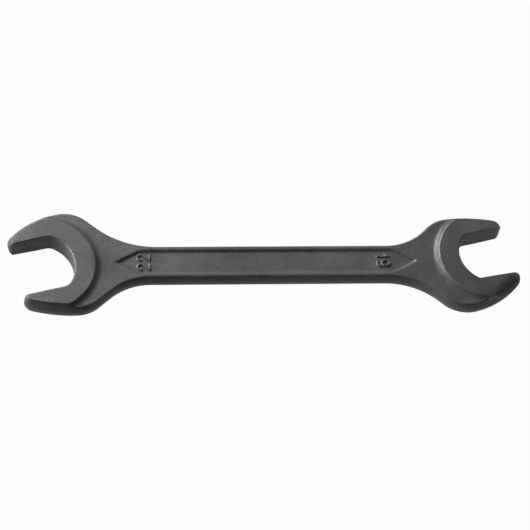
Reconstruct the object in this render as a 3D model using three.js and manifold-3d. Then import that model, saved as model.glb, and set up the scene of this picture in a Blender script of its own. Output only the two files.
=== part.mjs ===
// Double open ended wrench for 22 mm and 19 mm hexagons, drop forged in one piece.
// Millimetres, +Z up. X runs along the shank, from the large head at -X to the small one at +X.
// The wrench lies on the lower faces of its two heads, and the origin is in the middle of its box,
// on the surface that it lies on.
//
// The forging is made the way its dies are cut. One outline, in the plane where the dies part,
// carries sides that bulge up and down. Above it the dies leave three levels: the pads of the heads,
// the web with the rims of the shank, and the floor of the long panel. The jaws are cut last.

import * as THREE from 'three';
import { mergeVertices, toCreasedNormals } from 'three/addons/utils/BufferGeometryUtils.js';
import Module from 'manifold-3d';

const degree = Math.PI / 180;

// Whole wrench
const headSpacing = 168.7; // between the middles of the two heads, along the shank
const jawAngle = 13 * degree; // how far each jaw is turned out of the shank's line
const jawClearance = 0.3; // between a nut's flats and the jaw, both sides together
const headThickness = 9.3;
const shankThickness = 6.5;
const shankWidth = 14.6;

// Forging
const sideRadius = 7; // of the bulging sides, whose widest line is where the dies part
const padEdgeRadius = 0.45;
const webEdgeRadius = 1.7;
const stepAngle = 45 * degree; // slope of the step from a pad down to the web
const stepFootRadius = 1.8;

// Panel, sunk into both faces of the shank
const panelLength = 115.2; // from point to point
const panelWidth = 10.3;
const panelDepth = 0.8;
const panelPointAngle = 28.5 * degree; // between the shank's line and each edge of a point
const panelBlendRadius = 8;
const panelWallAngle = 45 * degree;

// Heads. The middle of a head is the middle of its round pads, and lies on the jaw's line. A neck
// leads from the straight shank to the shoulder, and a prong from there to its tip. The inner side
// is the one that the jaw turns towards.
const largeHead = {
  nutSize: 22,
  lead: 6.1, // from where the jaw's line leaves the shank's line to the middle of the head
  throatBulge: 2.8, // how much larger the throat's radius is than half the jaw
  throatDepth: 11.7, // from the middle of the head to the bottom of the throat
  throatShift: 0.5, // how far the throat is off the jaw's line, towards the inner side
  throatCornerRadius: 4.4,
  prongReach: 10.4, // from the middle of the head out to the tips
  lipRadius: 1.6,
  padRadius: 19.4,
  innerSide: {
    neckRun: 40.4, // from the middle of the head back to the start of the neck
    neckRadius: 22.7,
    neckTurn: 41 * degree,
    flankLength: 6.4,
    shoulderRadius: 12.8,
    shoulderTurn: 39.8 * degree,
    prongRadius: 59.4,
    tipRadius: 4.1,
  },
  outerSide: {
    neckRun: 42.9,
    neckRadius: 34.5,
    neckTurn: 40.7 * degree,
    flankLength: 5,
    shoulderRadius: 12.8,
    shoulderTurn: 51.3 * degree,
    prongRadius: 32,
    tipRadius: 2.3,
  },
};

const smallHead = {
  nutSize: 19,
  lead: 10.6,
  throatBulge: 2.6,
  throatDepth: 10.8,
  throatShift: 0,
  throatCornerRadius: 0.8,
  prongReach: 9.8,
  lipRadius: 2.2,
  padRadius: 18.5,
  innerSide: {
    neckRun: 38.8,
    neckRadius: 21.2,
    neckTurn: 45.4 * degree,
    flankLength: 2.1,
    shoulderRadius: 12.8,
    shoulderTurn: 38.7 * degree,
    prongRadius: 60.4,
    tipRadius: 3.9,
  },
  outerSide: {
    neckRun: 39.4,
    neckRadius: 29,
    neckTurn: 43.4 * degree,
    flankLength: 1.7,
    shoulderRadius: 14,
    shoulderTurn: 58.3 * degree,
    prongRadius: 32.1,
    tipRadius: 2,
  },
};

// Finishing of the jaws
const jawEdgeBreak = 0.25; // chamfer all round the cut jaw, on both faces
const reliefAngle = 2 * degree; // how the prongs' faces fall away from the middle of the head out

// Drawing
const chordError = 0.02; // how far a straight facet may stray from its arc
const sideSteps = 3; // facets in a bulging side, from where the dies part to its rounded edge
const padEdgeSteps = 2;
const webEdgeSteps = 5;
const footSteps = 4; // facets in the hollow at the foot of a step
const padSegments = 120; // facets round a pad's full circle
const creaseAngle = 24 * degree; // facets that meet at less than this are shaded as one surface
const overrun = 4; // how far a cutter stands out of what it cuts
const mergeDistance = 1e-5;

const wasm = await Module();
wasm.setup();

// Outlines

// A path of straight lines and tangent arcs. A positive turn is to the left.
class Path {
  constructor(x, y, heading) {
    this.position = new THREE.Vector2(x, y);
    this.heading = heading;
    this.points = [this.position.clone()];
  }

  // The middle of an arc that leaves from here, to the left of the path (side 1) or its right (-1).
  arcCentre(radius, side) {
    return new THREE.Vector2(
      this.position.x - side * radius * Math.sin(this.heading),
      this.position.y + side * radius * Math.cos(this.heading),
    );
  }

  turnTo(heading) {
    this.heading = heading;
    return this;
  }

  forward(length) {
    this.position.x += length * Math.cos(this.heading);
    this.position.y += length * Math.sin(this.heading);
    this.points.push(this.position.clone());
    return this;
  }

  arc(radius, turn) {
    const side = Math.sign(turn);
    const centre = this.arcCentre(radius, side);
    const largestStep = 2 * Math.acos(1 - Math.min(chordError / radius, 1));
    const steps = Math.max(1, Math.ceil(Math.abs(turn) / largestStep));
    for (let i = 1; i <= steps; i += 1) {
      const heading = this.heading + turn * (i / steps);
      this.points.push(new THREE.Vector2(
        centre.x + side * radius * Math.sin(heading),
        centre.y - side * radius * Math.cos(heading),
      ));
    }
    this.heading += turn;
    this.position = this.points[this.points.length - 1].clone();
    return this;
  }
}

const mirrored = (points) => points.map((point) => new THREE.Vector2(point.x, -point.y));
const halfTurned = (points) => points.map((point) => new THREE.Vector2(-point.x, -point.y));

// The next two work in the frame of a head: x runs out of the shank, and the jaw turns towards +y.

function headMiddle(head, turn = jawAngle) {
  return new THREE.Vector2(headSpacing / 2, head.lead * Math.sin(turn));
}

// One side of a head, from the shank to the front of its tip, always drawn at +y.
// On the outer side the jaw turns away, so its turn is negative.
function headSide(head, side, turn) {
  const path = new Path(headSpacing / 2 - side.neckRun, shankWidth / 2, 0);
  path.arc(side.neckRadius, side.neckTurn);
  path.forward(side.flankLength);
  path.arc(side.shoulderRadius, -side.shoulderTurn);

  // The tip's arc touches the prong's arc from inside, and ends on the straight front of the head.
  const prongCentre = path.arcCentre(side.prongRadius, -1);
  const jawDirection = new THREE.Vector2(Math.cos(turn), Math.sin(turn));
  const headAhead = headMiddle(head, turn).sub(prongCentre).dot(jawDirection);
  const tipAhead = headAhead + head.prongReach - side.tipRadius;
  const tipBearing = turn + Math.acos(tipAhead / (side.prongRadius - side.tipRadius));
  path.arc(side.prongRadius, tipBearing - Math.PI / 2 - path.heading);
  path.arc(side.tipRadius, turn - Math.PI / 2 - path.heading);
  return path.points;
}

// A whole head, anticlockwise, with its mouth still closed.
function headOutline(head) {
  const inner = headSide(head, head.innerSide, jawAngle);
  const outer = headSide(head, head.outerSide, -jawAngle);
  return [...mirrored(outer), ...inner.reverse()];
}

function forgingOutline() {
  return [...headOutline(smallHead), ...halfTurned(headOutline(largeHead))];
}

// The outline that is cut for a jaw, anticlockwise, in the jaw's own frame: x runs out of the mouth
// from the middle of the head. Corners that touch both a wall and the round throat join them.
function jawOutline(head) {
  const half = (head.nutSize + jawClearance) / 2;
  const throatRadius = half + head.throatBulge;
  const throatMiddle = throatRadius - head.throatDepth;
  const corner = (rise) => {
    const run = Math.sqrt((throatRadius - head.throatCornerRadius) ** 2 - rise ** 2);
    return { turn: Math.atan2(run, rise), wallStart: throatMiddle - run };
  };
  const inner = corner(half - head.throatCornerRadius - head.throatShift);
  const outer = corner(half - head.throatCornerRadius + head.throatShift);
  const front = head.prongReach - head.lipRadius;

  const path = new Path(head.prongReach + overrun, half + head.lipRadius, Math.PI);
  path.forward(overrun).turnTo(-Math.PI / 2).arc(head.lipRadius, -Math.PI / 2);
  path.forward(front).forward(-inner.wallStart).arc(head.throatCornerRadius, inner.turn);
  path.arc(throatRadius, Math.PI - inner.turn - outer.turn);
  path.arc(head.throatCornerRadius, outer.turn).forward(-outer.wallStart).forward(front);
  path.arc(head.lipRadius, -Math.PI / 2).turnTo(0).forward(overrun);
  return path.points;
}

// The panel's edge on the rims, anticlockwise from its point at -x.
function panelOutline() {
  const blendRise = panelBlendRadius * (1 - Math.cos(panelPointAngle));
  const blendRun = panelBlendRadius * Math.sin(panelPointAngle);
  const slant = (panelWidth / 2 - blendRise) / Math.sin(panelPointAngle);
  const straight = panelLength - 2 * (slant * Math.cos(panelPointAngle) + blendRun);
  const path = new Path(-panelLength / 2, 0, -panelPointAngle);
  for (const end of [0, Math.PI]) {
    path.turnTo(end - panelPointAngle).forward(slant).arc(panelBlendRadius, panelPointAngle);
    path.forward(straight).arc(panelBlendRadius, panelPointAngle).forward(slant);
  }
  path.points.pop(); // the path is back at its first point
  return path.points;
}

// Moves every point of a closed outline inwards by the same distance, square to its edges.
function insetOutline(outline, inset) {
  return outline.map((point, i) => {
    const before = outline[(i + outline.length - 1) % outline.length];
    const after = outline[(i + 1) % outline.length];
    const edgeIn = point.clone().sub(before).normalize();
    const edgeOut = after.clone().sub(point).normalize();
    const along = edgeIn.clone().add(edgeOut).normalize();
    const inward = new THREE.Vector2(-along.y, along.x);
    return point.clone().addScaledVector(inward, inset / along.dot(edgeIn));
  });
}

// Solids

function solidFrom(geometry) {
  geometry.deleteAttribute('normal');
  geometry.deleteAttribute('uv');
  const merged = mergeVertices(geometry, mergeDistance);
  const vertProperties = new Float32Array(merged.attributes.position.array);
  const triVerts = new Uint32Array(merged.index.array);
  return new wasm.Manifold(new wasm.Mesh({ numProp: 3, vertProperties, triVerts }));
}

// A closed solid whose walls join copies of one outline, inset by each layer's amount at its height.
// Where there is a drop, the layers above and below the parting plane come that much closer to it.
function layeredSolid(outline, layers, drop = () => 0) {
  const count = outline.length;
  const positions = [];
  for (const layer of layers) {
    for (const point of insetOutline(outline, layer.inset)) {
      positions.push(point.x, point.y, layer.z - Math.sign(layer.z) * drop(point.x));
    }
  }
  const triangles = [];
  for (let level = 0; level < layers.length - 1; level += 1) {
    for (let i = 0; i < count; i += 1) {
      const next = (i + 1) % count;
      const low = level * count;
      const high = low + count;
      triangles.push(low + i, low + next, high + next);
      triangles.push(low + i, high + next, high + i);
    }
  }
  const top = (layers.length - 1) * count;
  for (const [a, b, c] of THREE.ShapeUtils.triangulateShape(outline, [])) {
    triangles.push(a, c, b);
    triangles.push(top + a, top + b, top + c);
  }
  const geometry = new THREE.BufferGeometry();
  geometry.setAttribute('position', new THREE.Float32BufferAttribute(positions, 3));
  geometry.setIndex(triangles);
  return solidFrom(geometry);
}

// Repeats layers above the parting plane below it, in rising order.
function bothWays(layers) {
  const below = layers.filter((layer) => layer.z > 0).map(({ inset, z }) => ({ inset, z: -z }));
  return [...below.reverse(), ...layers];
}

// Layers from the parting plane up to a flat face: the arc of the bulging side, and a smaller arc
// that rounds it over into the face.
function sideLayers(halfThickness, edgeRadius, edgeSteps) {
  const reach = sideRadius - edgeRadius;
  const centreZ = halfThickness - edgeRadius;
  const centreInset = sideRadius - Math.sqrt(reach ** 2 - centreZ ** 2);
  const edgeTilt = Math.asin(centreZ / reach);
  const layers = [];
  for (let i = 0; i < sideSteps; i += 1) {
    const tilt = edgeTilt * (i / sideSteps);
    layers.push({ inset: sideRadius * (1 - Math.cos(tilt)), z: sideRadius * Math.sin(tilt) });
  }
  for (let i = 0; i <= edgeSteps; i += 1) {
    const tilt = edgeTilt + (Math.PI / 2 - edgeTilt) * (i / edgeSteps);
    layers.push({
      inset: centreInset - edgeRadius * Math.cos(tilt),
      z: centreZ + edgeRadius * Math.sin(tilt),
    });
  }
  return layers;
}

// The whole outline at the thickness of the heads, with bulging sides and rounded edges.
function thickForging(outline) {
  return layeredSolid(outline, bothWays(sideLayers(headThickness / 2, padEdgeRadius, padEdgeSteps)));
}

// The room that the dies leave at the level of the web. Below its rounded edge it goes on down as
// straight as the first facet of that edge, clear of the forging's sides.
function webRoom(outline) {
  const edge = sideLayers(shankThickness / 2, webEdgeRadius, webEdgeSteps).slice(sideSteps);
  const lean = (edge[1].inset - edge[0].inset) / (edge[1].z - edge[0].z);
  return layeredSolid(outline, bothWays([{ inset: edge[0].inset - edge[0].z * lean, z: 0 }, ...edge]));
}

// The room for the pads of one head: a round disc through the forging, whose edge is the step down
// to the web, with a hollow at its foot.
function padRoom(head) {
  const padZ = headThickness / 2;
  const webZ = shankThickness / 2;
  const slope = Math.tan(stepAngle);
  const footTurn = stepAngle / footSteps;
  const footRun = stepFootRadius * Math.tan(stepAngle / 2);
  const cornerRadius = head.padRadius + (padZ - webZ) / slope; // where slope and web would meet
  const upper = [
    new THREE.Vector2(0, padZ + overrun * slope),
    new THREE.Vector2(head.padRadius - overrun, padZ + overrun * slope),
  ];
  for (let i = 0; i <= footSteps; i += 1) {
    const tilt = stepAngle - footTurn * i;
    upper.push(new THREE.Vector2(
      cornerRadius + footRun - stepFootRadius * Math.sin(tilt),
      webZ + stepFootRadius * (1 - Math.cos(tilt)),
    ));
  }
  upper.pop();
  const last = upper[upper.length - 1];
  const drop = last.y - webZ;
  upper.push(new THREE.Vector2(last.x + 2 * drop / Math.tan(footTurn / 2), webZ - drop));
  const profile = [...upper.map((point) => new THREE.Vector2(point.x, -point.y)), ...upper.reverse()];
  const disc = new THREE.LatheGeometry(profile, padSegments);
  disc.rotateX(Math.PI / 2);
  const middle = headMiddle(head);
  return solidFrom(disc).translate(middle.x, middle.y, 0);
}

// Moves a solid from a jaw's own frame to the frame of its head.
function placedInHead(solid, head) {
  const middle = headMiddle(head);
  return solid.rotate(0, 0, jawAngle / degree).translate(middle.x, middle.y, 0);
}

// What is cut from a head: the jaw, chamfered on both faces, and the relief of the prongs' faces.
function jawCutters(head) {
  const padZ = headThickness / 2;
  const relief = Math.tan(reliefAngle);
  const drop = (x) => Math.max(0, x) * relief;
  const layers = [
    { inset: 0, z: 0 },
    { inset: 0, z: padZ - jawEdgeBreak },
    { inset: -2 * jawEdgeBreak, z: padZ + jawEdgeBreak },
  ];
  const jaw = layeredSolid(jawOutline(head), bothWays(layers), drop);

  // A wedge across both prongs. Its sloping face leaves the pad's face at the middle of the head.
  const front = head.prongReach + overrun;
  const wedge = new THREE.Shape([
    new THREE.Vector2(-overrun, padZ + overrun * relief),
    new THREE.Vector2(front, padZ - front * relief),
    new THREE.Vector2(front, padZ + overrun),
    new THREE.Vector2(-overrun, padZ + overrun),
  ]);
  const width = 2 * (head.padRadius + overrun);
  const slab = new THREE.ExtrudeGeometry(wedge, { depth: width, bevelEnabled: false, steps: 1 });
  slab.translate(0, 0, -width / 2).rotateX(Math.PI / 2);
  const upperRelief = solidFrom(slab);
  const lowerRelief = upperRelief.rotate(180, 0, 0);
  return placedInHead(jaw.add(upperRelief).add(lowerRelief), head);
}

// The panel sunk into the upper face of the shank. Its walls lean outwards.
function panelCutter() {
  const webZ = shankThickness / 2;
  const lean = 1 / Math.tan(panelWallAngle);
  return layeredSolid(panelOutline(), [
    { inset: panelDepth * lean, z: webZ - panelDepth },
    { inset: -panelDepth * lean, z: webZ + panelDepth },
  ]);
}

// The forging

function forging() {
  const outline = forgingOutline();
  const halfTurn = (solid) => solid.rotate(0, 0, 180);
  const smallPads = padRoom(smallHead);
  const largePads = halfTurn(padRoom(largeHead));
  const levels = webRoom(outline).add(smallPads).add(largePads);
  const panel = panelCutter();
  return thickForging(outline)
    .intersect(levels)
    .subtract(panel)
    .subtract(panel.rotate(180, 0, 0))
    .subtract(jawCutters(smallHead))
    .subtract(halfTurn(jawCutters(largeHead)));
}

function meshFrom(solid, material) {
  const { vertProperties, triVerts } = solid.getMesh();
  const geometry = new THREE.BufferGeometry();
  geometry.setAttribute('position', new THREE.BufferAttribute(vertProperties, 3));
  geometry.setIndex(new THREE.BufferAttribute(triVerts, 1));
  return new THREE.Mesh(toCreasedNormals(geometry, creaseAngle), material);
}

const phosphatedSteel = new THREE.MeshStandardMaterial({
  color: 0x4a4b4c,
  roughness: 0.55,
  metalness: 0.6,
});

const wrench = meshFrom(forging(), phosphatedSteel);
wrench.name = 'wrench_forging';

// The origin goes to the middle of the box, on the surface that the wrench lies on.
wrench.geometry.computeBoundingBox();
const middle = wrench.geometry.boundingBox.getCenter(new THREE.Vector3());
wrench.position.set(-middle.x, -middle.y, -wrench.geometry.boundingBox.min.z);

const group = new THREE.Group();
group.add(wrench);

export default group;
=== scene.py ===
# %% [markdown]
# # A drop forged open end wrench
#
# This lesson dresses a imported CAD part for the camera. The part is one steel forging: two heads
# with a jaw each, and a flat shank with a sunk panel. The CAD solid is made of flat facets, which
# is right for measuring and for physics. Here the same rule is pressed again into a much finer
# blank, the raised size numbers are laid on the panel, and the steel gets its dark phosphate
# finish.
#
# The wrench's own lengths are typed in millimetres, and `mm` turns them into the metres that
# Blender uses. The table and the lamps around it are typed in metres.

# %% Frame and tools
import math

import bpy
import numpy as np
from mathutils import Matrix, Vector
from mathutils.geometry import delaunay_2d_cdt


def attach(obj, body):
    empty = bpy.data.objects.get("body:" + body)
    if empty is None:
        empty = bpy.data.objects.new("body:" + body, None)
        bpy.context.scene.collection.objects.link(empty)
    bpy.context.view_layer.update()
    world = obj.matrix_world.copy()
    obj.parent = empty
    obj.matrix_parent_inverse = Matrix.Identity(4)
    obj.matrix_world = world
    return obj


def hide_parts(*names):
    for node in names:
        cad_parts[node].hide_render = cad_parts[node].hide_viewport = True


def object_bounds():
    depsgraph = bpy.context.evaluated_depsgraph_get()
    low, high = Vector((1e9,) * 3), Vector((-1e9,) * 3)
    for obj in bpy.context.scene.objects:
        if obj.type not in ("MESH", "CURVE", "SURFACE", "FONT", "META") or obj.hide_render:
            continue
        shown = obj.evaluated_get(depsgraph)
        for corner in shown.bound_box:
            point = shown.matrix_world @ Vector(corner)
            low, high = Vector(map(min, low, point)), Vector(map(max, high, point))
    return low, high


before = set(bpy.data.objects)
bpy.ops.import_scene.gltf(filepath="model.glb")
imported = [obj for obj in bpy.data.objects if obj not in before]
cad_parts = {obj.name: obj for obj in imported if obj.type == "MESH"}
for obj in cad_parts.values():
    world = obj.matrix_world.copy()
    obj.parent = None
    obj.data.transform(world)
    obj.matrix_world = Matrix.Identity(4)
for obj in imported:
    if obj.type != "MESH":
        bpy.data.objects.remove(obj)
cad_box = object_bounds()
mm = 0.001
print("CAD box in mm:", [[round(c / mm, 3) for c in corner] for corner in cad_box])

# %% [markdown]
# ## The camera
#
# The camera stands where the photographer's did: steeply above the near side, a little to the
# left, and slightly rolled. Its place came from fitting the wrench's outline to the picture with
# both jaws held at their real widths. The picture's axis misses the middle of the frame by half a
# pixel, which is all that the camera's shift is for.

# %% Camera
picture_size = 530
azimuth = math.radians(-12.845)
elevation = math.radians(59.176)
roll = math.radians(-10.739)
distance = 989.59
focal_pixels = 2617.42
aim = Vector((-0.010, -0.958, 4.65))
axis_miss = 0.5

back = Vector((
    math.sin(azimuth) * math.cos(elevation),
    -math.cos(azimuth) * math.cos(elevation),
    math.sin(elevation),
))
level_right = Vector((math.cos(azimuth), math.sin(azimuth), 0))
level_up = back.cross(level_right)
right = math.cos(roll) * level_right - math.sin(roll) * level_up
up = math.sin(roll) * level_right + math.cos(roll) * level_up

lens = bpy.data.cameras.new("camera")
lens.sensor_width = 36
lens.lens = focal_pixels / picture_size * lens.sensor_width
lens.shift_x = -axis_miss / picture_size
lens.shift_y = axis_miss / picture_size
lens.clip_start = 0.05
lens.clip_end = 20
camera = bpy.data.objects.new("camera", lens)
camera.matrix_world = Matrix.Translation((aim + back * distance) * mm) @ Matrix((
    (right.x, up.x, back.x, 0),
    (right.y, up.y, back.y, 0),
    (right.z, up.z, back.z, 0),
    (0, 0, 0, 1),
))
bpy.context.scene.collection.objects.link(camera)
bpy.context.scene.camera = camera
print(f"lens {lens.lens:.1f} mm, {distance:.0f} mm from the wrench")

# %% [markdown]
# ## Node trees written as sums
#
# Both the shape and the steel are sums on numbers. Laying Math nodes by hand hides such a sum, so
# a small class wraps a socket, and an ordinary Python expression on it adds the Math nodes. It
# works the same in a shader and in Geometry Nodes. Any other node comes from one method, `node`,
# which takes the node's type, its settings and what goes into its sockets.


# %% Value
class Value:
    """A number socket in a tree. A sum on it adds Math nodes."""

    def __init__(self, tree, socket):
        self.tree = tree
        self.socket = socket

    def math(self, operation, *others):
        node = self.tree.node("ShaderNodeMath", {"operation": operation})
        for socket, value in zip(node.inputs, others):
            self.tree.fill(socket, value)
        return Value(self.tree, node.outputs[0])

    def __add__(self, other):
        return self.math("ADD", self, other)

    def __radd__(self, other):
        return self.math("ADD", other, self)

    def __sub__(self, other):
        return self.math("SUBTRACT", self, other)

    def __rsub__(self, other):
        return self.math("SUBTRACT", other, self)

    def __mul__(self, other):
        return self.math("MULTIPLY", self, other)

    def __rmul__(self, other):
        return self.math("MULTIPLY", other, self)

    def __truediv__(self, other):
        return self.math("DIVIDE", self, other)

    def __rtruediv__(self, other):
        return self.math("DIVIDE", other, self)

    def above(self, other):
        return self.math("GREATER_THAN", self, other)

    def least(self, other, blend=0.0):
        """The smaller of two values, with the corner between them rounded over `blend`."""
        return self.math("SMOOTH_MIN", self, other, blend)

    def most(self, other, blend=0.0):
        """The larger of two values, with the corner between them rounded over `blend`."""
        return self.math("SMOOTH_MAX", self, other, blend)

    def root(self):
        return self.math("SQRT", self)

    def ramp(self, start, end):
        """0 up to start, 1 from end on, and smooth between."""
        node = self.tree.node(
            "ShaderNodeMapRange",
            {"interpolation_type": "SMOOTHSTEP", "clamp": True},
            {"Value": self, "From Min": start, "From Max": end},
        )
        return Value(self.tree, node.outputs["Result"])


print("a sum on a Value adds its Math nodes")


# %% Tree
class Tree:
    """A node tree and one method that adds any node to it."""

    def __init__(self, tree):
        self.tree = tree

    def fill(self, socket, value):
        if isinstance(value, Value):
            self.tree.links.new(value.socket, socket)
        elif isinstance(value, bpy.types.NodeSocket):
            self.tree.links.new(value, socket)
        else:
            socket.default_value = value

    def node(self, kind, settings=None, inputs=None):
        node = self.tree.nodes.new(kind)
        for name, setting in (settings or {}).items():
            setattr(node, name, setting)
        for name, value in (inputs or {}).items():
            self.fill(node.inputs[name], value)
        return node

    def value(self, kind, settings=None, inputs=None):
        return Value(self, self.node(kind, settings, inputs).outputs[0])


print("one method lays any node")

# %% [markdown]
# ## The outline in the parting plane
#
# Two dies shape the wrench, and they meet in one flat plane. The outline in that plane is drawn
# from straight runs and arcs that touch, as on a die maker's drawing. The sizes are those of the
# CAD source. A head is drawn in its own frame: x runs out of the shank, and the jaw turns towards
# +y.
#
# Each side of a head goes through the hollow arc of the neck, a straight flank, the shoulder, the
# long arc of the prong and the small one of its tip. A turn is in degrees, and every other number
# is a radius or a length.

# %% Sizes
head_spacing = 168.7
jaw_angle = math.radians(13)
jaw_clearance = 0.3
head_thickness = 9.3
shank_thickness = 6.5
shank_width = 14.6

large_head = {
    "nut": 22, "lead": 6.1, "throat_bulge": 2.8, "throat_depth": 11.7, "throat_shift": 0.5,
    "throat_corner": 4.4, "reach": 10.4, "lip": 1.6, "pad": 19.4,
    "inner": {"run": 40.4, "neck": 22.7, "neck_turn": 41, "flank": 6.4, "shoulder": 12.8,
              "shoulder_turn": 39.8, "prong": 59.4, "tip": 4.1},
    "outer": {"run": 42.9, "neck": 34.5, "neck_turn": 40.7, "flank": 5, "shoulder": 12.8,
              "shoulder_turn": 51.3, "prong": 32, "tip": 2.3},
}
small_head = {
    "nut": 19, "lead": 10.6, "throat_bulge": 2.6, "throat_depth": 10.8, "throat_shift": 0,
    "throat_corner": 0.8, "reach": 9.8, "lip": 2.2, "pad": 18.5,
    "inner": {"run": 38.8, "neck": 21.2, "neck_turn": 45.4, "flank": 2.1, "shoulder": 12.8,
              "shoulder_turn": 38.7, "prong": 60.4, "tip": 3.9},
    "outer": {"run": 39.4, "neck": 29, "neck_turn": 43.4, "flank": 1.7, "shoulder": 14,
              "shoulder_turn": 58.3, "prong": 32.1, "tip": 2},
}


# %% Path
class Path:
    """A line of straight runs and arcs that touch. A positive turn is to the left."""

    spacing = 0.7
    widest_turn = math.radians(7)

    def __init__(self, x, y, heading):
        self.place = np.array((x, y), float)
        self.heading = heading
        self.points = [self.place]

    def centre(self, radius, side):
        to_left = np.array((-math.sin(self.heading), math.cos(self.heading)))
        return self.place + side * radius * to_left

    def face(self, heading):
        self.heading = heading
        return self

    def forward(self, length):
        start = self.place
        ahead = np.array((math.cos(self.heading), math.sin(self.heading)))
        steps = max(1, math.ceil(length / self.spacing))
        self.points += [start + ahead * length * i / steps for i in range(1, steps + 1)]
        self.place = self.points[-1]
        return self

    def arc(self, radius, turn):
        side = math.copysign(1, turn)
        centre = self.centre(radius, side)
        steps = math.ceil(abs(turn) * max(radius / self.spacing, 1 / self.widest_turn))
        for i in range(1, steps + 1):
            heading = self.heading + turn * i / steps
            spoke = side * radius * np.array((math.sin(heading), -math.cos(heading)))
            self.points.append(centre + spoke)
        self.heading += turn
        self.place = self.points[-1]
        return self


print(f"paths have a point every {Path.spacing} mm or less")


# %% Heads in plan
def head_middle(head, turn):
    return np.array((head_spacing / 2, head["lead"] * math.sin(turn)))


def head_side(head, side, turn):
    """One side of a head from the shank to the front of its tip, drawn at +y."""
    path = Path(head_spacing / 2 - side["run"], shank_width / 2, 0)
    path.arc(side["neck"], math.radians(side["neck_turn"])).forward(side["flank"])
    path.arc(side["shoulder"], -math.radians(side["shoulder_turn"]))
    ahead = np.array((math.cos(turn), math.sin(turn)))
    head_ahead = (head_middle(head, turn) - path.centre(side["prong"], -1)) @ ahead
    tip_ahead = head_ahead + head["reach"] - side["tip"]
    bearing = turn + math.acos(tip_ahead / (side["prong"] - side["tip"]))
    path.arc(side["prong"], bearing - math.pi / 2 - path.heading)
    path.arc(side["tip"], turn - math.pi / 2 - path.heading)
    return np.array(path.points)


def jaw_edge(head):
    """The jaw from the +y tip round the throat to the -y tip, in its head's frame."""
    half = (head["nut"] + jaw_clearance) / 2
    throat = half + head["throat_bulge"]
    corner = head["throat_corner"]

    def turn_and_run(shift):
        rise = half - corner + shift
        run = math.sqrt((throat - corner) ** 2 - rise**2)
        return math.atan2(run, rise), run + head["throat_depth"] - throat

    turn_in, run_in = turn_and_run(-head["throat_shift"])
    turn_out, run_out = turn_and_run(head["throat_shift"])
    front = head["reach"] - head["lip"]
    path = Path(head["reach"], half + head["lip"], -math.pi / 2)
    path.arc(head["lip"], -math.pi / 2).forward(front + run_in).arc(corner, turn_in)
    path.arc(throat, math.pi - turn_in - turn_out)
    path.arc(corner, turn_out).forward(run_out + front).arc(head["lip"], -math.pi / 2)
    cos, sin = math.cos(jaw_angle), math.sin(jaw_angle)
    turned = np.array(path.points) @ np.array(((cos, sin), (-sin, cos)))
    return turned + head_middle(head, jaw_angle)


def between(start, end):
    """Points spaced along a straight line, both ends left out."""
    steps = max(1, math.ceil(np.linalg.norm(end - start) / Path.spacing))
    points = [start + (end - start) * i / steps for i in range(1, steps)]
    return np.array(points).reshape(-1, 2)


def head_lines(head):
    """What is forged on the -y side, the closed front, the jaw, and what is forged at +y."""
    lower = head_side(head, head["outer"], -jaw_angle) * (1, -1)
    upper = head_side(head, head["inner"], jaw_angle)[::-1]
    jaw = jaw_edge(head)[::-1]
    return lower, between(lower[-1], upper[0]), jaw, upper


for head in (large_head, small_head):
    print(f"jaw for a {head['nut']} mm nut: {len(jaw_edge(head))} points")


# %% Outline
def cross(a, b):
    return a[..., 0] * b[..., 1] - a[..., 1] * b[..., 0]


no_scale = 1e-12
same_place = 1e-9


def joined(first, second):
    """Ends the first line and starts the second one where they cross, or bridges the gap."""
    step, other = np.diff(first, axis=0)[:, None], np.diff(second, axis=0)[None]
    apart = second[None, :-1] - first[:-1, None]
    scale = cross(step, other)
    scale = np.where(scale == 0, no_scale, scale)
    share, other_share = cross(apart, other) / scale, cross(apart, step) / scale
    meets = (share >= 0) & (share < 1) & (other_share >= 0) & (other_share < 1)
    if not meets.any():
        return first, between(first[-1], second[0]), second
    i, j = np.argwhere(meets)[0]
    corner = (first[i] + share[i, j] * step[i, 0])[None]
    return np.append(first[: i + 1], corner, 0), corner, np.append(corner, second[j + 1 :], 0)


# Both heads are drawn at +x, and the sign turns the large one round to -x.
heads = ((small_head, 1), (large_head, -1))
forged_parts = []
real_parts = []
jaws = []
outer_sides = []
for head, sign in heads:
    lower, front, jaw, upper = (sign * line for line in head_lines(head))
    forged_parts += [lower, front, upper]
    lower, lower_link, jaw = joined(lower, jaw)
    jaw, upper_link, upper = joined(jaw, upper)
    real_parts += [lower, lower_link, jaw, upper_link, upper]
    jaws.append(jaw)
    outer_sides.append(lower)


def closed(parts):
    """One loop out of the lines of both heads and the straight edges of the shank between them."""
    half = len(parts) // 2
    first, second = parts[:half], parts[half:]
    edges = (between(first[-1][-1], second[0][0]), between(second[-1][-1], first[0][0]))
    loop = np.concatenate([*first, edges[0], *second, edges[1]])
    return loop[np.linalg.norm(loop - np.roll(loop, 1, axis=0), axis=1) > same_place]


forged_loop = closed(forged_parts)
real_loop = closed(real_parts)
middles = [sign * head_middle(head, jaw_angle) for head, sign in heads]
print(f"outline: {len(forged_loop)} points forged, {len(real_loop)} with the jaws cut")

# %% [markdown]
# ## The panel and the numbers in plan
#
# The panel is a long hexagon with blended corners. On its floor stand the two sizes, 22 and 19.
# They are plain numbers that tell which nut a jaw fits, so they belong on a generic wrench. The
# die maker cuts them with a round tool that runs along a few lines and arcs, and so are they
# drawn here: as the middle lines of the tool's way. Each number stands with its head towards its
# own jaw.
#
# At the panel's point beside the small head the wall is no sharp corner but a short ramp, which
# catches the light. The ramp starts a little short of the point and falls to the floor.

# %% Panel
panel_length = 115.2
panel_width = 10.3
panel_depth = 0.8
panel_point_angle = math.radians(28.5)
panel_blend = 8
panel_ramp_start = 0.9
panel_ramp_slope = 0.7

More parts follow.
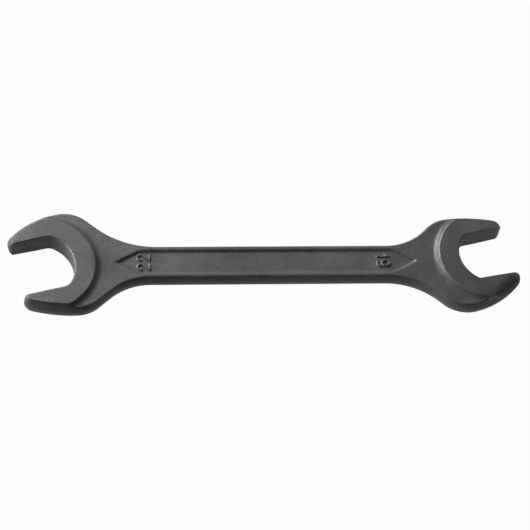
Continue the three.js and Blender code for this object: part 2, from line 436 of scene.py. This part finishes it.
blend_rise = panel_blend * (1 - math.cos(panel_point_angle))
slant = (panel_width / 2 - blend_rise) / math.sin(panel_point_angle)
straight = panel_length - 2 * (slant * math.cos(panel_point_angle)
                               + panel_blend * math.sin(panel_point_angle))
way = Path(-panel_length / 2, 0, -panel_point_angle)
for end in (0, math.pi):
    way.face(end - panel_point_angle).forward(slant).arc(panel_blend, panel_point_angle)
    way.forward(straight).arc(panel_blend, panel_point_angle).forward(slant)
panel_loop = np.array(way.points[:-1])
print(f"panel: {len(panel_loop)} points, straight for {straight:.1f} mm")

# %% Numbers
stroke_width = 1.1
figure_height = 5.7
figure_width = 3.5
narrow_width = 2.1
figure_gap = 0.6
arc_points = 25


def oval(cx, cy, rx, ry, start, end):
    """Points of an oval arc between two angles in degrees."""
    angles = np.radians(np.linspace(start, end, arc_points))
    return np.stack((cx + rx * np.cos(angles), cy + ry * np.sin(angles)), axis=1)


def corners(*points):
    return np.array(points, float)


def digit(figure):
    """The middle lines of a 1, 2 or 9, from its lower left corner, and its width."""
    low, high = stroke_width / 2, figure_height - stroke_width / 2
    left, far = stroke_width / 2, figure_width - stroke_width / 2
    middle, bowl = (left + far) / 2, (far - left) / 2
    if figure == "1":
        stem = left + 1.0
        flag_end, flag_fill = (left + 0.05, high - 1.45), (left + 0.9, high - 1.15)
        return [corners(flag_end, (stem, high), (stem, low)),
                corners(flag_end, flag_fill)], narrow_width
    if figure == "2":
        head = oval(middle, high - bowl, bowl, bowl, start=190, end=-35)
        return [np.append(head, corners((left, low), (far, low)), 0)], figure_width
    ring_half, tail_half = 1.4, 0.95
    ring = oval(middle, high - ring_half, bowl, ring_half, start=0, end=360)
    tail = oval(middle, low + tail_half, bowl, tail_half, start=0, end=-130)
    return [ring, np.append(corners((far, high - ring_half)), tail, 0)], figure_width


def number_strokes(text, foot, shift, turn):
    """The strokes of a number. Its foot line is at x = foot, and it reads towards turn * y."""
    figures = [digit(figure) for figure in text]
    start = -(sum(width for _, width in figures) + figure_gap * (len(text) - 1)) / 2
    lines_laid = []
    for lines, width in figures:
        for line in lines:
            across = turn * (line[:, 0] + start) + shift
            along = foot - turn * line[:, 1]
            lines_laid.append(np.stack((along, across), axis=1))
        start += width + figure_gap
    return lines_laid


large_number = number_strokes("22", foot=-43.9, shift=0.05, turn=1)
small_number = number_strokes("19", foot=41.4, shift=0.5, turn=-1)
strokes = large_number + small_number
print(f"numbers: {len(large_number)} strokes for 22 and {len(small_number)} for 19")

# %% [markdown]
# ## The blank
#
# The blank is a flat sheet in the parting plane, cut to the outline, whose triangles follow every
# line at which the surface will bend: rings along the walls, round the pads, along the jaws, the
# panel and the numbers. A constrained triangulation joins them all. Each point keeps how far it
# is from each of those features, because that is all that the dies need to know about it.


# %% Distances
batch = 1000


def in_batches(points):
    """The points in batches, so that a table of every pair stays small."""
    return np.array_split(points, max(1, len(points) // batch))


def runs_to(points, line, is_closed=False):
    """How far each point is from a line of straight pieces."""
    start, end = (line, np.roll(line, -1, axis=0)) if is_closed else (line[:-1], line[1:])
    along = end - start
    squares = (along**2).sum(1)
    runs = []
    for part in in_batches(points):
        offset = part[:, None] - start
        share = np.clip((offset * along).sum(2) / squares, 0, 1)
        runs.append(np.linalg.norm(offset - share[..., None] * along, axis=2).min(1))
    return np.concatenate(runs)


def inside(points, loop):
    """Which points lie in a closed loop."""
    before, after = loop, np.roll(loop, -1, axis=0)
    along, rise = (after - before).T
    slope = along / np.where(rise == 0, 1, rise)
    found = []
    for part in in_batches(points):
        x, y = part[:, :1], part[:, 1:]
        spans = (before[:, 1] > y) != (after[:, 1] > y)
        crossed = spans & (x < before[:, 0] + (y - before[:, 1]) * slope)
        found.append(crossed.sum(1) % 2 == 1)
    return np.concatenate(found)


def moved_in(line, run, is_closed=True):
    """A line moved to its left, square to itself."""
    step = np.diff(line, axis=0, append=line[:1] if is_closed else line[-1:])
    if not is_closed:
        step[-1] = step[-2]
    step /= np.linalg.norm(step, axis=1)[:, None]
    last = np.roll(step, 1, axis=0)
    if not is_closed:
        last[0] = step[0]
    along = step + last
    along /= np.linalg.norm(along, axis=1)[:, None]
    left_of = np.stack((-along[:, 1], along[:, 0]), axis=1)
    return line + left_of * run / (along * last).sum(1)[:, None]


print(f"the panel stays {runs_to(panel_loop, real_loop, True).min():.2f} mm from the outline")


# %% Lines of the blank
sheet_points = []
sheet_edges = []


def lay(line, is_closed, kept=None):
    """Lays a line on the sheet. Where some of its points aren't kept, it has a gap."""
    kept = np.ones(len(line), bool) if kept is None else kept
    places = np.cumsum(kept) - 1 + len(sheet_points)
    sheet_points.extend(line[kept])
    ends = range(len(line) if is_closed else len(line) - 1)
    for i in ends:
        j = (i + 1) % len(line)
        if kept[i] and kept[j]:
            sheet_edges.append((int(places[i]), int(places[j])))


def on_sheet(line, clearance):
    return inside(line, real_loop) & (runs_to(line, real_loop, True) > clearance)


print("a ring of the blank is laid where it stays on the sheet")

# %% Rings
side_radius = 7
side_rings = [side_radius * (1 - math.cos(math.radians(tilt))) for tilt in range(4, 37, 4)]
wall_rings = (*side_rings, 0.34, 0.51, 0.71, 0.93, 1.19, 1.44,
              1.6, 1.7, 1.8, 1.9, 2.0, 2.4, 3.0, 3.8)
jaw_rings = (0.06, 0.12, 0.18, 0.25, 0.35, 0.6)
pad_rings = (-2.2, -1.4, -0.8, -0.45, -0.2, 0, 0.2, 0.45,
             0.75, 1.05, 1.35, 1.65, 2.0, 2.5, 3.2, 4.2)
panel_rings = (-0.9, -0.5, -0.25, -0.1, 0, 0.12, 0.3, 0.5, 0.7, 0.82, 0.95, 1.2, 1.6)

# How near each kind of ring may come to the outline, and a wall ring to a jaw
wall_gap = 0.05
jaw_gap = 0.04
pad_gap = 0.08
panel_gap = 0.3
# A ring folds over itself in a tight corner. Points there are nearer to the line than their run.
fold_share = 0.98
fold_slack = 0.005

lay(real_loop, True)
for run in wall_rings:
    ring = moved_in(forged_loop, run)
    to_jaws = np.min([runs_to(ring, jaw) for jaw in jaws], axis=0)
    is_apart = runs_to(ring, forged_loop, True) > fold_share * run
    lay(ring, True, inside(ring, real_loop) & (to_jaws > wall_gap) & is_apart)
for jaw in jaws:
    for run in jaw_rings:
        ring = moved_in(jaw, run, False)
        lay(ring, False, on_sheet(ring, jaw_gap) & (runs_to(ring, jaw) > run - fold_slack))
for (head, _), middle in zip(heads, middles):
    for run in pad_rings:
        radius = head["pad"] + run
        count = math.ceil(2 * math.pi * radius / Path.spacing)
        angles = np.linspace(0, 2 * math.pi, count, False)
        ring = middle + radius * np.stack((np.cos(angles), np.sin(angles)), axis=1)
        lay(ring, True, on_sheet(ring, pad_gap))
for run in panel_rings:
    ring = moved_in(panel_loop, run)
    lay(ring, True, on_sheet(ring, panel_gap))
print(f"{len(sheet_points)} points on the lines")


# %% Field of the blank
def field(low_corner, high_corner, pitch):
    """A field of points in rows that are half a pitch out of step with each other."""
    row = pitch * math.sqrt(3) / 2
    xs = np.arange(low_corner[0], high_corner[0], pitch)
    ys = np.arange(low_corner[1], high_corner[1], row)
    grid = np.stack(np.meshgrid(xs, ys), axis=2)
    grid[1::2, :, 0] += pitch / 2
    return grid.reshape(-1, 2)


def clear_of(points, others, gap):
    """Which points are further than gap from all others."""
    cells = {}
    for other in others:
        cells.setdefault((int(other[0] // gap), int(other[1] // gap)), []).append(other)
    kept = []
    for x, y in points:
        i, j = int(x // gap), int(y // gap)
        around = [(a, b) for a in (i - 1, i, i + 1) for b in (j - 1, j, j + 1)]
        near = [other for cell in around for other in cells.get(cell, ())]
        kept.append(all((x - a) ** 2 + (y - b) ** 2 > gap * gap for a, b in near))
    return np.array(kept)


number_margin = 1.1
number_pitch = 0.14
number_reach = 0.95
number_gap = 0.09
number_field = np.concatenate([
    field(np.concatenate(number).min(0) - number_margin,
          np.concatenate(number).max(0) + number_margin, number_pitch)
    for number in (large_number, small_number)
])
to_strokes = np.min([runs_to(number_field, stroke) for stroke in strokes], axis=0)
number_field = number_field[to_strokes < number_reach]
number_field = number_field[clear_of(number_field, np.array(sheet_points), number_gap)]
sheet_points.extend(number_field)

open_pitch = 1.0
edge_gap = 0.5
open_gap = 0.4
open_field = field(real_loop.min(0), real_loop.max(0), open_pitch)
open_field = open_field[on_sheet(open_field, edge_gap)]
open_field = open_field[clear_of(open_field, np.array(sheet_points), open_gap)]
sheet_points.extend(open_field)
print(f"{len(number_field)} points round the numbers, {len(open_field)} in the open")

# %% Sheet
merge_run = 1e-5
corners_out, _, faces_out, *_ = delaunay_2d_cdt(
    [Vector(p) for p in sheet_points], sheet_edges, [], 0, merge_run, False)
plan = np.array([tuple(c) for c in corners_out])
triangles = np.array(faces_out)
triangles = triangles[inside(plan[triangles].mean(1), real_loop)]
used = np.unique(triangles)
renumbered = np.full(len(plan), -1)
renumbered[used] = np.arange(len(used))
plan, triangles = plan[used], renumbered[triangles]
first, second, third = (plan[triangles[:, i]] for i in range(3))
is_flipped = cross(second - first, third - first) < 0
triangles[is_flipped] = triangles[is_flipped][:, ::-1]
print(f"sheet: {len(plan)} points, {len(triangles)} triangles")

# %% [markdown]
# ## Two faces and the walls of the jaws
#
# Apart from the numbers and one worn prong on the upper face, the wrench is the same above and
# below the parting plane. So the sheet is used twice, and `side` says which way a point will be
# lifted: 1 up, -1 down. At the forged outline both sheets share their points, which stay in the
# plane and become the parting line. Along the jaws the sheets are joined by rows of faces, which
# stand upright once the sheets part.

# %% Closed blank
on_jaw = 0.002
directed = triangles[:, [0, 1, 1, 2, 2, 0]].reshape(-1, 2)
_, place, count = np.unique(np.sort(directed, axis=1), axis=0,
                            return_inverse=True, return_counts=True)
rim = directed[count[place.ravel()] == 1]
rim_middles = plan[rim].mean(1)
is_cut = np.min([runs_to(rim_middles, jaw) for jaw in jaws], axis=0) < on_jaw
forged_points = np.unique(rim[~is_cut])

lower_of = np.arange(len(plan)) + len(plan)
lower_of[forged_points] = forged_points
wall_rows = (0.93, 0.8, 0.4, 0, -0.4, -0.8, -0.93)
cut_points = np.setdiff1d(np.unique(rim[is_cut]), forged_points)
column = {int(p): [int(p)] * (len(wall_rows) + 2) for p in forged_points}
extra_plan = []
extra_side = []
for p in cut_points:
    first = 2 * len(plan) + len(extra_plan)
    extra_plan += [plan[p]] * len(wall_rows)
    extra_side += wall_rows
    column[int(p)] = [int(p), *range(first, first + len(wall_rows)), int(lower_of[p])]

faces = [tuple(t) for t in triangles.tolist()]
faces += [tuple(t) for t in lower_of[triangles[:, ::-1]].tolist()]
for a, b in rim[is_cut].tolist():
    for row in range(len(wall_rows) + 1):
        face = (column[a][row + 1], column[b][row + 1], column[b][row], column[a][row])
        faces.append(tuple(dict.fromkeys(face)))

blank_plan = np.concatenate([plan, plan, np.array(extra_plan)])
side = np.concatenate([np.ones(len(plan)), -np.ones(len(plan)), np.array(extra_side)])
side[forged_points] = 0
print(f"blank: {len(blank_plan)} points, {len(faces)} faces, {len(cut_points)} on the jaws")

# %% [markdown]
# ## What every point knows
#
# A run says how far a point is from a feature, and a mark says how far a rule holds there. The
# near prong of the small head is softer than the others in the picture: its upper face rolls over
# to the outer side, falls towards the tip and ends in a steep wall. Three marks grow along that
# prong and say how much of each it has. Nothing of this shows in the finished mesh, because the
# runs and marks are taken off again after the pressing.

# %% Runs
far_away = 100
out_of_jaw = np.array((math.cos(jaw_angle), math.sin(jaw_angle)))
across_jaw = np.array((-math.sin(jaw_angle), math.cos(jaw_angle)))
in_panel = inside(blank_plan, panel_loop)
panel_run = runs_to(blank_plan, panel_loop, True) * np.where(in_panel, 1, -1)
ramp_run = panel_length / 2 - panel_ramp_start - blank_plan[:, 0]
panel_run = np.where(in_panel, np.minimum(panel_run, ramp_run * panel_ramp_slope), panel_run)
pad_runs = [np.linalg.norm(blank_plan - middle, axis=1) - head["pad"]
            for (head, _), middle in zip(heads, middles)]
jaw_ahead = [(blank_plan - middle) @ (sign * out_of_jaw)
             for (_, sign), middle in zip(heads, middles)]
nearest_head = np.argmin(pad_runs, axis=0)
outer_ahead = (outer_sides[0] - middles[0]) @ out_of_jaw
outer_side = outer_sides[0][outer_ahead < small_head["reach"] - small_head["outer"]["tip"]]
stroke_run = np.min([runs_to(blank_plan, stroke) for stroke in strokes], axis=0)
runs = {
    "wall_run": runs_to(blank_plan, forged_loop, True),
    "jaw_run": np.min([runs_to(blank_plan, jaw) for jaw in jaws], axis=0),
    "panel_run": panel_run,
    "pad_run": np.choose(nearest_head, pad_runs),
    "prong_run": np.maximum(np.choose(nearest_head, jaw_ahead), 0),
    "stroke_run": np.where(side > 0, stroke_run, far_away),
    "outer_run": runs_to(blank_plan, outer_side),
}
print("kept runs:", ", ".join(runs))

# %% Marks
soft_edge = 4
across = (blank_plan - middles[0]) @ across_jaw
on_soft_prong = (nearest_head == 0) * np.clip(-across / soft_edge, 0, 1) * (side > 0)


def grown(start, run):
    """0 up to `start` ahead of the small head's middle, and 1 from `run` further on."""
    return on_soft_prong * np.clip((jaw_ahead[0] - start) / run, 0, 1)


marks = {
    "side": side,
    "upright": (np.abs(side) < 1) & (side != 0),
    "roll": grown(start=-8, run=11),
    "fall": grown(start=-10, run=20),
    "steep": grown(start=small_head["reach"] - 7, run=4),
}
print("points with some roll:", int((marks["roll"] > 0).sum()))

# %% Flat mesh
# The CAD arcs are made of facets that stay inside them, so the plan is drawn in to the CAD box.
blank = bpy.data.meshes.new("wrench_blank")
shift = -(real_loop.min(0) + real_loop.max(0)) / 2
cad_width = (np.array(cad_box[1]) - np.array(cad_box[0]))[:2] / mm
fit = min(1, *(cad_width / (real_loop.max(0) - real_loop.min(0))))
blank.from_pydata([(x, y, 0) for x, y in (blank_plan + shift) * fit * mm], [], faces)
laid = {name: values * mm for name, values in runs.items()} | marks
for name, values in laid.items():
    attribute = blank.attributes.new(name, "FLOAT", "POINT")
    attribute.data.foreach_set("value", values.astype(np.float32))
wrench = bpy.data.objects.new("dressed_forging", blank)
bpy.context.scene.collection.objects.link(wrench)
print("middle of the outline's box in mm:", (-shift).round(3), "drawn in to", round(fit, 6))

# %% [markdown]
# ## The dies
#
# A Geometry Nodes tree lifts each point of the blank to the height that the dies leave there. It
# works like the real tools, one after the other: a bulging side that rounds over into a face, the
# round pad with its step, the panel, the raised numbers, and at last the relief and the broken
# edge of the cut jaws. Where two of these meet, a smooth minimum or maximum rounds the corner,
# which is what forging does to every corner of a die.


# %% Sizes of the dies
def new_input(tree, name, kind):
    return tree.interface.new_socket(name=name, in_out="INPUT", socket_type=kind).identifier


dies = bpy.data.node_groups.new("dies", "GeometryNodeTree")
new_input(dies, "Geometry", "NodeSocketGeometry")
dies.interface.new_socket(name="Geometry", in_out="OUTPUT", socket_type="NodeSocketGeometry")
sizes = {
    "Head Half": head_thickness / 2,
    "Web Half": shank_thickness / 2,
    "Side Radius": side_radius,
    "Pad Edge Radius": 0.45,
    "Web Edge Radius": 1.1,
    "Step Foot": 1.6,
    "Pad Crest": 0.25,
    "Panel Depth": panel_depth,
    "Panel Corner": 0.5,
    "Number Height": 0.6,
    "Number Core": 0.21,
    "Number Slope": 2.3,
    "Number Crest": 0.12,
    "Number Foot": 0.15,
    "Jaw Edge Break": 0.25,
    "Jaw Edge Blend": 0.1,
    "Relief Slope": math.tan(math.radians(2)),
    "Roll Run": 6,
    "Roll Blend": 0.3,
    "Fall At Tip": 1.5,
    # The width of the worn edges, which also carry a painted highlight.
    "Wear And Highlight Width": 0.35,
}
given_sizes = {}
for name, size in sizes.items():
    unit = 1 if name.endswith("Slope") else mm
    given_sizes[new_input(dies, name, "NodeSocketFloat")] = size * unit
steel_input = new_input(dies, "Steel", "NodeSocketMaterial")

tree = Tree(dies)
inputs = tree.node("NodeGroupInput")
outputs = tree.node("NodeGroupOutput")
given = {name: Value(tree, inputs.outputs[name]) for name in sizes}


def kept_run(name):
    return tree.value("GeometryNodeInputNamedAttribute", {"data_type": "FLOAT"}, {"Name": name})


print("sizes that can be set on the dies:", len(given_sizes))


# %% Sides, pads and web
def bulging_side(run, top, bulge, radius):
    """Height of a bulging side that turns through a rounded edge into a face at `top`."""
    centre = top - radius
    reach = bulge - radius
    centre_run = bulge - (reach * reach - centre * centre).root()
    short = (centre_run - run).most(0)
    arc = centre + (radius * radius - short * short).most(0).root()
    flank = (run * (bulge * 2 - run)).root()
    lean = centre / reach
    past = run.above(bulge * (1 - (1 - lean * lean).root()))
    return flank + (arc - flank) * past


# Where the mark "steep" is 1, a run counts four times, so that the side is nearly a wall.
steep_gain = 3
wall_run = kept_run("wall_run") * (1 + kept_run("steep") * steep_gain)
pad_run = kept_run("pad_run")
bulge = given["Side Radius"]
head_side_height = bulging_side(wall_run, given["Head Half"], bulge, given["Pad Edge Radius"])
web = bulging_side(wall_run, given["Web Half"], bulge, given["Web Edge Radius"])
step = given["Head Half"] - pad_run
height = head_side_height.least(web.most(step, given["Step Foot"]), given["Pad Crest"])
print("nodes up to the pads:", len(dies.nodes))

# %% Panel and numbers
panel_in = kept_run("panel_run")
stroke = kept_run("stroke_run")
floor_level = given["Web Half"] - given["Panel Depth"]
panel = (given["Web Half"] - panel_in).most(floor_level, given["Panel Corner"])
height = height.least(panel, given["Panel Corner"])
number_top = floor_level + given["Number Height"]
number = number_top - (stroke - given["Number Core"]) * given["Number Slope"]
number = number.least(number_top, given["Number Crest"])
height = height.most(number, given["Number Foot"])
print("nodes up to the numbers:", len(dies.nodes))

# %% Relief, soft prong and broken edge
jaw_run = kept_run("jaw_run")
relief = given["Head Half"] - kept_run("prong_run") * given["Relief Slope"]
height = height.least(relief)
short = 1 - (kept_run("outer_run") / given["Roll Run"]).least(1)
roll_over = given["Head Half"] * (1 - short * short).root()
rolled = height.least(roll_over, given["Roll Blend"])
height = height + (rolled - height) * kept_run("roll") - given["Fall At Tip"] * kept_run("fall")
height = height - (given["Jaw Edge Break"] - jaw_run).most(0, given["Jaw Edge Blend"])
height = height.most(0)
print("nodes up to the jaws:", len(dies.nodes))

# %% [markdown]
# ## Where the coating wears, with painted highlights
#
# A wrench rubs against nuts and other tools with its edges, so the coating goes first on the
# crest of the pads, the corners of the jaws, the faces of the numbers and the panel's rim, and
# along the line where the flash was trimmed off. The same share of lighter, more metallic steel
# also paints highlights on these edges and a painted reflection along the parting line. The dies
# know how far each of these is, so they leave two shares on the points for the steel: one for the
# wear and the painted highlights, and `forged`, which is 1 on skin that no tool has cut.


# %% Wear and painted highlights
def near_line(run):
    """1 on a line and 0 from the width of the worn and highlighted edges on."""
    return 1 - run.math("ABSOLUTE", run).ramp(0, given["Wear And Highlight Width"])


pad_end = 0.3 * mm
crest_run = -0.05 * mm
edge_run = 1.9 * mm
corner_run = 0.15 * mm
trim_start, trim_end = 0.3 * mm, 1.1 * mm
panel_wear_and_highlight, number_wear_and_highlight, trim_wear_and_reflection = 0.6, 0.8, 0.5

on_skin = 1 - kept_run("upright")
on_pad = 1 - pad_run.ramp(0, pad_end)
crest = near_line(pad_run - crest_run)
pad_edge = near_line(wall_run - edge_run) * on_pad
jaw_corner = near_line(jaw_run - corner_run) * on_skin
panel_edge = near_line(panel_in) * panel_wear_and_highlight
number_face = near_line(stroke) * number_wear_and_highlight
# A lighter band along the parting line: partly the trimmed flash, partly a painted reflection.
parting_band = (1 - height.ramp(trim_start, trim_end)) * on_skin * trim_wear_and_reflection
# This share is partly wear and partly a painted highlight on the edges and the parting line.
wear_and_highlight = crest.most(pad_edge).most(jaw_corner).most(panel_edge).most(number_face).most(parting_band)
forged = (1 - on_pad) * on_skin
print("nodes up to the wear:", len(dies.nodes))

# %% Lift
lift = height * kept_run("side") + given["Head Half"]
offset = tree.node("ShaderNodeCombineXYZ", None, {"Z": lift})
marked = tree.node("GeometryNodeSetPosition", None,
                   {"Geometry": inputs.outputs["Geometry"], "Offset": offset.outputs[0]})
for name, value in (("wear_and_highlight", wear_and_highlight), ("forged", forged)):
    marked = tree.node("GeometryNodeStoreNamedAttribute",
                       {"data_type": "FLOAT", "domain": "POINT"},
                       {"Geometry": marked.outputs[0], "Name": name, "Value": value})
whole = tree.node("GeometryNodeRealizeInstances", None, {"Geometry": marked.outputs[0]})
coated = tree.node("GeometryNodeSetMaterial", None,
                   {"Geometry": whole.outputs[0], "Material": inputs.outputs["Steel"]})
tree.fill(outputs.inputs["Geometry"], coated.outputs[0])
print("the dies have", len(dies.nodes), "nodes")

# %% [markdown]
# ## Dark phosphated steel
#
# After forging, the wrench is shot blasted and gets a phosphate coating: a thin layer of fine
# dark crystals that holds oil. It is dark steel grey, satin, and hides scratches but not the
# grain left by the shot. The oil is a weak coat over it. Three noises make the grain of the
# crystals, the dents of the shot and the clouds where the bath took unevenly, and they vary the
# colour, the gloss and the relief together, as on the real thing. Forged skin is more dented than
# a cut face. Where the dies left their share of wear and highlight, specks of lighter, more
# metallic steel come through: partly worn steel, and partly a painted highlight on the edges and
# a painted reflection along the parting line.

# %% Noises and shares
steel = bpy.data.materials.new("phosphated_steel")
steel.use_nodes = True
steel.node_tree.nodes.clear()
shader = Tree(steel.node_tree)
where = shader.node("ShaderNodeTexCoord").outputs["Object"]


def noise(scale, detail, roughness):
    return shader.value(
        "ShaderNodeTexNoise",
        {"noise_dimensions": "3D"},
        {"Vector": where, "Scale": scale, "Detail": detail, "Roughness": roughness},
    )


def kept_share(name):
    """A number that the dies left on every point."""
    node = shader.node("ShaderNodeAttribute",
                       {"attribute_type": "GEOMETRY", "attribute_name": name})
    return Value(shader, node.outputs["Fac"])


def mixed_colour(share, low_colour, high_colour):
    node = shader.node("ShaderNodeMix", {"data_type": "RGBA"})
    for socket, value in zip((node.inputs[0], node.inputs[6], node.inputs[7]),
                             (share, low_colour, high_colour)):
        shader.fill(socket, value)
    return node.outputs[2]


grain = noise(scale=1600, detail=2.0, roughness=0.7)
dents = noise(scale=560, detail=2.0, roughness=0.5)
cloud = noise(scale=75, detail=3.0, roughness=0.55)
specks = noise(scale=900, detail=3.0, roughness=0.6).ramp(0.4, 0.62)
forged_share = kept_share("forged")
# The share of worn steel, which also paints highlights on the edges and a reflection along the
# parting line.
wear_and_highlight_share = kept_share("wear_and_highlight") * specks
print("noises of the steel:", sum(n.type == "TEX_NOISE" for n in steel.node_tree.nodes))

# %% Steel
deep_grey = (0.064, 0.065, 0.067, 1)
light_grey = (0.120, 0.121, 0.124, 1)
# The lighter grey and its share are partly rubbed steel and partly a painted highlight.
rubbed_and_highlight_grey = (0.26, 0.26, 0.265, 1)
rubbed_through_and_highlight = 0.5

coating = mixed_colour((cloud * 0.5 + grain * 0.5).ramp(0.3, 0.7), deep_grey, light_grey)
colour = mixed_colour(wear_and_highlight_share * rubbed_through_and_highlight, coating, rubbed_and_highlight_grey)
relief_height = grain * 1.3 + dents * (0.6 + forged_share * 0.9)
bump = shader.node("ShaderNodeBump", None,
                   {"Strength": 0.4, "Distance": 0.00012, "Height": relief_height})
surface = shader.node("ShaderNodeBsdfPrincipled", None, {
    "Base Color": colour,
    "Metallic": wear_and_highlight_share * rubbed_through_and_highlight,
    "Specular IOR Level": 0.3,
    "Roughness": 0.3 + grain * 0.12 - wear_and_highlight_share * 0.06,
    "Coat Weight": 0.2,
    "Coat Roughness": 0.19,
    "Normal": bump.outputs[0],
})
shader.node("ShaderNodeOutputMaterial", None, {"Surface": surface.outputs[0]})
print("steel has", len(steel.node_tree.nodes), "nodes")

# %% [markdown]
# ## Pressing
#
# The dies are set on the blank as a modifier, with each size given to the identifier of its
# socket. The evaluated mesh is kept as a plain mesh, and the modifier goes. Faces that meet at a
# sharp angle, as at the jaws, keep a hard edge between them, and all others are shaded smooth.

# %% Pressing
sharp_from = math.radians(38)
press = wrench.modifiers.new("dies", "NODES")
press.node_group = dies
for identifier, size in given_sizes.items():
    press[identifier] = size
press[steel_input] = steel
evaluated = wrench.evaluated_get(bpy.context.evaluated_depsgraph_get())
pressed = bpy.data.meshes.new_from_object(evaluated)
wrench.modifiers.remove(press)
wrench.data = pressed
pressed.shade_smooth()
pressed.set_sharp_from_angle(angle=sharp_from)
for name in laid:
    pressed.attributes.remove(pressed.attributes[name])
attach(wrench, "root")
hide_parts("wrench_forging")
print(f"forging: {len(pressed.vertices)} points, {len(pressed.polygons)} faces")

# %% [markdown]
# ## Table and white ground
#
# The wrench lies on a plain white table. The picture's ground is pure white, so the camera sees
# the table's glow, which is all white at a strength of 1, and only a trace of the paper that
# takes the wrench's soft shadow. The steel mirrors a weaker glow. To all other light the table is
# matt and rather dark, because the near side of the wrench is dark in the picture: little light
# came up to it.

# %% Table
table_reach = 3.0
table_drop = 0.0001
glow_seen = 0.98
glow_mirrored = 0.4
paper_grey = 0.18

table_mesh = bpy.data.meshes.new("table")
table_mesh.from_pydata([(x * table_reach, y * table_reach, 0)
                        for x, y in ((-1, -1), (1, -1), (1, 1), (-1, 1))], [], [(0, 1, 2, 3)])
table = bpy.data.objects.new("table", table_mesh)
table.location.z = -table_drop
bpy.context.scene.collection.objects.link(table)
paper = bpy.data.materials.new("white_paper")
paper.use_nodes = True
paper.node_tree.nodes.clear()
shader = Tree(paper.node_tree)
rays = shader.node("ShaderNodeLightPath")
seen = Value(shader, rays.outputs["Is Camera Ray"])
seen = seen.most(Value(shader, rays.outputs["Is Transmission Ray"])) * glow_seen
seen = seen.most(Value(shader, rays.outputs["Is Glossy Ray"]) * glow_mirrored)
matt = shader.node("ShaderNodeBsdfDiffuse", None,
                   {"Color": (paper_grey, paper_grey, paper_grey, 1)})
glow = shader.node("ShaderNodeEmission", None, {"Color": (1, 1, 1, 1), "Strength": 1.0})
mixed = shader.node("ShaderNodeMixShader", None, {"Fac": seen})
shader.fill(mixed.inputs[1], matt.outputs[0])
shader.fill(mixed.inputs[2], glow.outputs[0])
shader.node("ShaderNodeOutputMaterial", None, {"Surface": mixed.outputs[0]})
table_mesh.materials.append(paper)
print(f"table: {2 * table_reach:.0f} m wide, {len(paper.node_tree.nodes)} nodes in its paper")

# %% [markdown]
# ## Light
#
# Five soft boxes light the wrench, read from the picture's shades. The wide key stands low behind
# the large head, so it shades the step of that head's pad and lights the small head's. A low box
# at the left catches the raised numbers and the walls that face it. One behind and above fills
# the upper faces. A small one close by lets the light fall off towards the small head, and a weak
# one at the near right fills its near side. The boxes are wide, because a small bright lamp would
# burn the upper faces white in views from the other side. The room itself is dark.


# %% Light
def soft_box(name, place, wide, high, power):
    """An oval lamp that faces the wrench. Lengths are in metres, and the power is in watts."""
    light = bpy.data.lights.new(name, "AREA")
    light.shape = "ELLIPSE"
    light.size = wide
    light.size_y = high
    light.energy = power
    lamp = bpy.data.objects.new(name, light)
    lamp.location = place
    lamp.rotation_euler = (-Vector(place)).to_track_quat("-Z", "Y").to_euler()
    bpy.context.scene.collection.objects.link(lamp)


soft_box("key", place=(-1.18, 0.68, 0.63), wide=2.4, high=1.1, power=22)
soft_box("low_left", place=(-1.49, 0, 0.22), wide=0.8, high=0.4, power=14)
soft_box("back", place=(-0.53, 0.92, 1.06), wide=0.8, high=0.8, power=9.8)
soft_box("near_back", place=(-0.147, 0.255, 0.206), wide=0.28, high=0.28, power=0.6)
soft_box("front_fill", place=(0.27, -0.2, 0.05), wide=0.14, high=0.14, power=0.12)
world = bpy.data.worlds.new("room")
world.use_nodes = True
world.node_tree.nodes["Background"].inputs["Strength"].default_value = 0
bpy.context.scene.world = world
bpy.context.scene.view_settings.view_transform = "Standard"
print("lamps:", ", ".join(light.name for light in bpy.data.lights))
